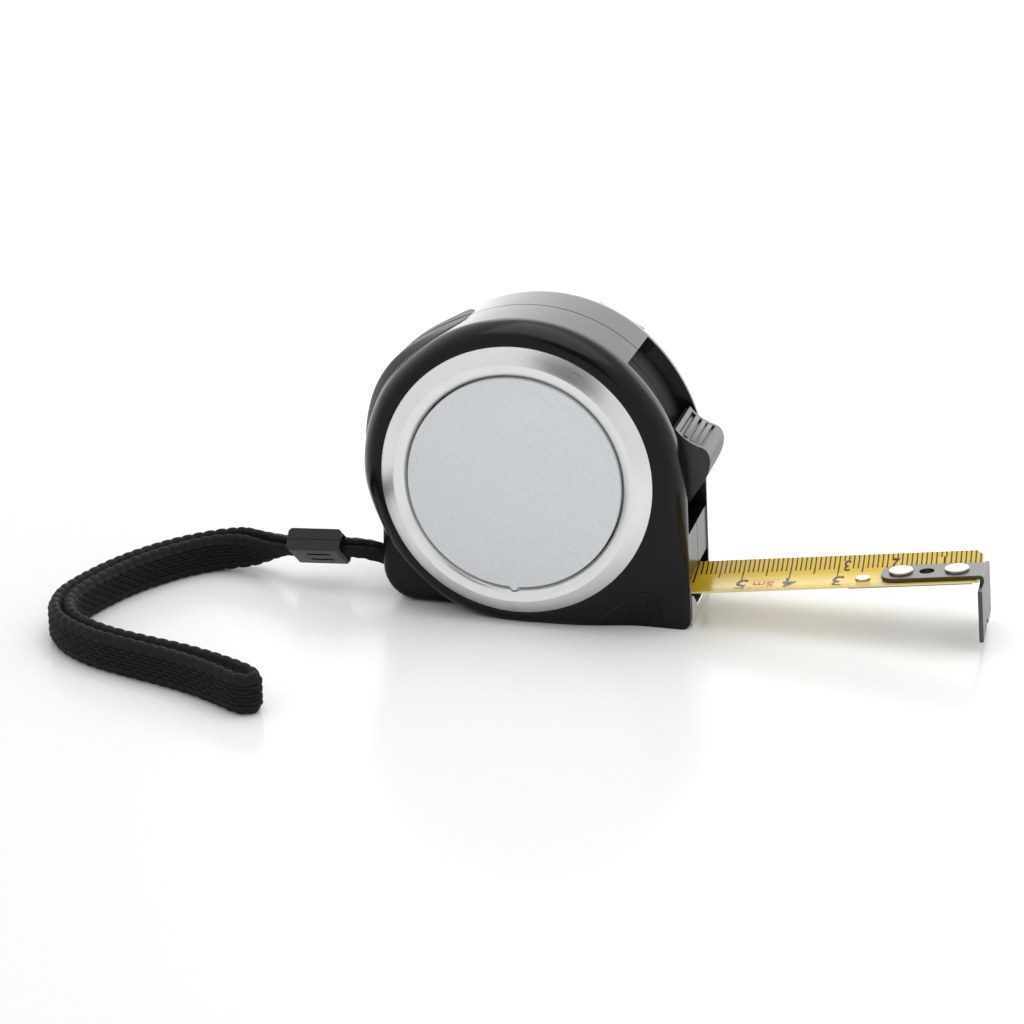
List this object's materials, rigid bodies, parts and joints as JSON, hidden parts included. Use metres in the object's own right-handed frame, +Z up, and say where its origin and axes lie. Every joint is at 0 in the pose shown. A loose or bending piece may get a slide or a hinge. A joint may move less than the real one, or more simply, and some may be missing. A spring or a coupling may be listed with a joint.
{
  "type": "tape measure",
  "caption": "Pocket tape measure: glossy black clamshell case, satin ring and disc, thumb lock, bowed yellow blade with hook, belt clip and woven wrist strap.",
  "frame": {"origin": "on the base plane, straight below the drum axis, on the seam between the two shells", "axes": "+X out of the mouth along the blade, +Y from the disc side to the belt clip side, +Z up from the base"},
  "size_m": [0.1878, 0.1003, 0.0633],
  "materials": {
    "black_abs": "glossy moulded ABS",
    "lock_plastic": "satin moulded plastic",
    "satin_ring": "satin, turned",
    "disc_grey": "fine matt silver-grey",
    "blade_yellow": "glossy yellow lacquer with a printed scale",
    "steel": "bright plated steel",
    "dark_steel": "blued spring steel",
    "clip_steel": "black lacquered spring steel",
    "rubber": "matt",
    "spool_plastic": "natural moulded plastic",
    "webbing": "woven polyester",
    "bead_plastic": "satin moulded plastic"
  },
  "bodies": {
    "case": {"front_shell": "black_abs", "back_shell": "black_abs", "ring_bezel": "satin_ring", "label_disc": "disc_grey", "case_screws": "dark_steel", "center_post": "steel", "spool_washers": "spool_plastic", "blade_lead": "blade_yellow", "mouth_lip": "steel", "mouth_bumper": "rubber", "clip_plate": "clip_steel", "clip_screw": "steel", "strap_pin": "steel", "strap_neck": "webbing", "wrist_strap": "webbing"},
    "drum": {"spool": "spool_plastic", "spring_cover": "spool_plastic", "power_spring": "dark_steel", "blade_coil": "blade_yellow"},
    "blade_root": {"blade_tail": "blade_yellow"},
    "blade": {"blade": "blade_yellow", "backing_plate": "steel", "hook_rivets": "steel", "blade_rivet": "steel"},
    "hook": {"hook": "steel"},
    "lock": {"lock_button": "lock_plastic", "lock_brake": "rubber"},
    "clip_arm": {"clip_tongue": "clip_steel"},
    "bead": {"strap_bead": "bead_plastic"}
  },
  "joints": [
    {"name": "blade_slide", "type": "slide", "parent": "case", "child": "blade_root", "axis": [1, 0, 0], "range_m": [-0.057, 0], "deforming": ["blade_lead"]},
    {"name": "blade_level", "type": "hinge", "parent": "blade_root", "child": "blade", "pos_m": [0.0353, 0, 0.00735], "axis": [0, 1, 0], "range_deg": [0, 7.9]},
    {"name": "drum_spin", "type": "hinge", "parent": "case", "child": "drum", "pos_m": [0, 0, 0.03067], "axis": [0, 1, 0], "range_deg": [0, 160]},
    {"name": "hook_float", "type": "slide", "parent": "blade", "child": "hook", "axis": [0.9906, 0, 0.1368], "range_m": [-0.0005, 0.0005]},
    {"name": "lock_slide", "type": "hinge", "parent": "case", "child": "lock", "pos_m": [0, 0, 0.03067], "axis": [0, -1, 0], "range_deg": [0, 12]},
    {"name": "clip_flex", "type": "hinge", "parent": "case", "child": "clip_arm", "pos_m": [0.01223, 0.01695, 0.05367], "axis": [0.8829, 0, -0.4695], "range_deg": [0, 6], "stiffness_Nm_per_rad": 0.4},
    {"name": "bead_slide", "type": "slide", "parent": "case", "child": "bead", "axis": [0.9973, -0.02, 0.07], "range_m": [0, 0.005]}
  ],
  "couplings": [
    {"joint": "blade_level", "follows": "blade_slide", "rad_per_m": -2.4067},
    {"joint": "drum_spin", "follows": "blade_slide", "rad_per_m": -48.78}
  ]
}
